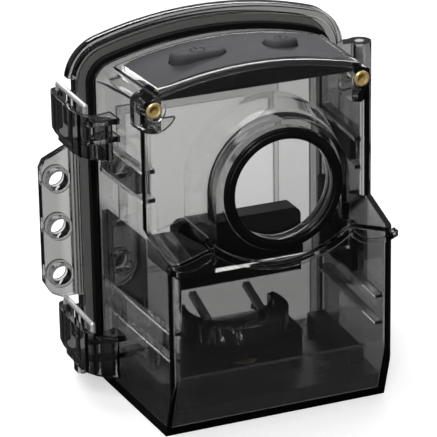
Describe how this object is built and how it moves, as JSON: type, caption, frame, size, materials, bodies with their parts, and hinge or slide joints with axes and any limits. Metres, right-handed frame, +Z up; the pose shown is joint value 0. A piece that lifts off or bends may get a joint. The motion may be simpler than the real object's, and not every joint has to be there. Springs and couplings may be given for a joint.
{
  "type": "waterproof action camera housing",
  "caption": "Smoke-clear waterproof housing for a small action camera, with a round lens port, push buttons, toggle latches and a hinged rear cover.",
  "frame": {"origin": "mouth of the tripod socket, in the middle of the underside", "axes": "+Z up, -Y towards the lens side, +X towards the hinge side"},
  "size_m": [0.1199, 0.0735, 0.1254],
  "materials": {
    "smoke_clear": "polished, smoke tinted",
    "latch_smoke": "polished, dark smoke",
    "lens_glass": "polished",
    "black_plastic": "fine texture",
    "gloss_black": "gloss",
    "black_rubber": "matte",
    "grey_rubber": "matte",
    "brass": "turned",
    "steel": "bright drawn wire"
  },
  "bodies": {
    "housing": {"front_shell": "smoke_clear", "lens_window": "lens_glass", "lens_ring": "gloss_black", "lens_seal": "black_rubber", "threaded_inserts": "brass", "tripod_insert": "brass", "base_plate": "black_plastic", "camera_cradle": "black_plastic", "cradle_screws": "steel", "button_frame": "black_plastic", "button_membrane": "grey_rubber", "left_upper_pad": "black_rubber", "left_lower_pad": "black_rubber", "right_upper_pad": "black_rubber", "right_lower_pad": "black_rubber", "shoulder_block": "black_rubber", "hinge_pin": "steel"},
    "cover": {"back_cover": "smoke_clear", "cover_gasket": "black_rubber", "cover_pad": "black_rubber"},
    "power_key": {"power_button": "grey_rubber"},
    "mode_key": {"mode_button": "grey_rubber"},
    "upper_bail": {"upper_latch_bail": "steel"},
    "upper_lever": {"upper_latch_lever": "latch_smoke"},
    "lower_bail": {"lower_latch_bail": "steel"},
    "lower_lever": {"lower_latch_lever": "latch_smoke"}
  },
  "joints": [
    {"name": "cover_hinge", "type": "hinge", "parent": "housing", "child": "cover", "pos_m": [0.0565, 0.0275, 0.061], "axis": [0, 0, -1], "range_deg": [0, 150]},
    {"name": "upper_bail_hinge", "type": "hinge", "parent": "housing", "child": "upper_bail", "pos_m": [-0.0512, 0.0055, 0.0964], "axis": [0, 0, 1], "range_deg": [0, 15]},
    {"name": "upper_lever_hinge", "type": "hinge", "parent": "upper_bail", "child": "upper_lever", "pos_m": [-0.0514, 0.0303, 0.0964], "axis": [0, 0, -1], "range_deg": [0, 150]},
    {"name": "lower_bail_hinge", "type": "hinge", "parent": "housing", "child": "lower_bail", "pos_m": [-0.0512, 0.0055, 0.0199], "axis": [0, 0, 1], "range_deg": [0, 15]},
    {"name": "lower_lever_hinge", "type": "hinge", "parent": "lower_bail", "child": "lower_lever", "pos_m": [-0.0514, 0.0303, 0.0199], "axis": [0, 0, -1], "range_deg": [0, 150]},
    {"name": "power_press", "type": "slide", "parent": "housing", "child": "power_key", "axis": [0, 0, -1], "range_m": [0, 0.001], "stiffness_N_per_m": 300},
    {"name": "mode_press", "type": "slide", "parent": "housing", "child": "mode_key", "axis": [0, 0, -1], "range_m": [0, 0.001], "stiffness_N_per_m": 300}
  ]
}
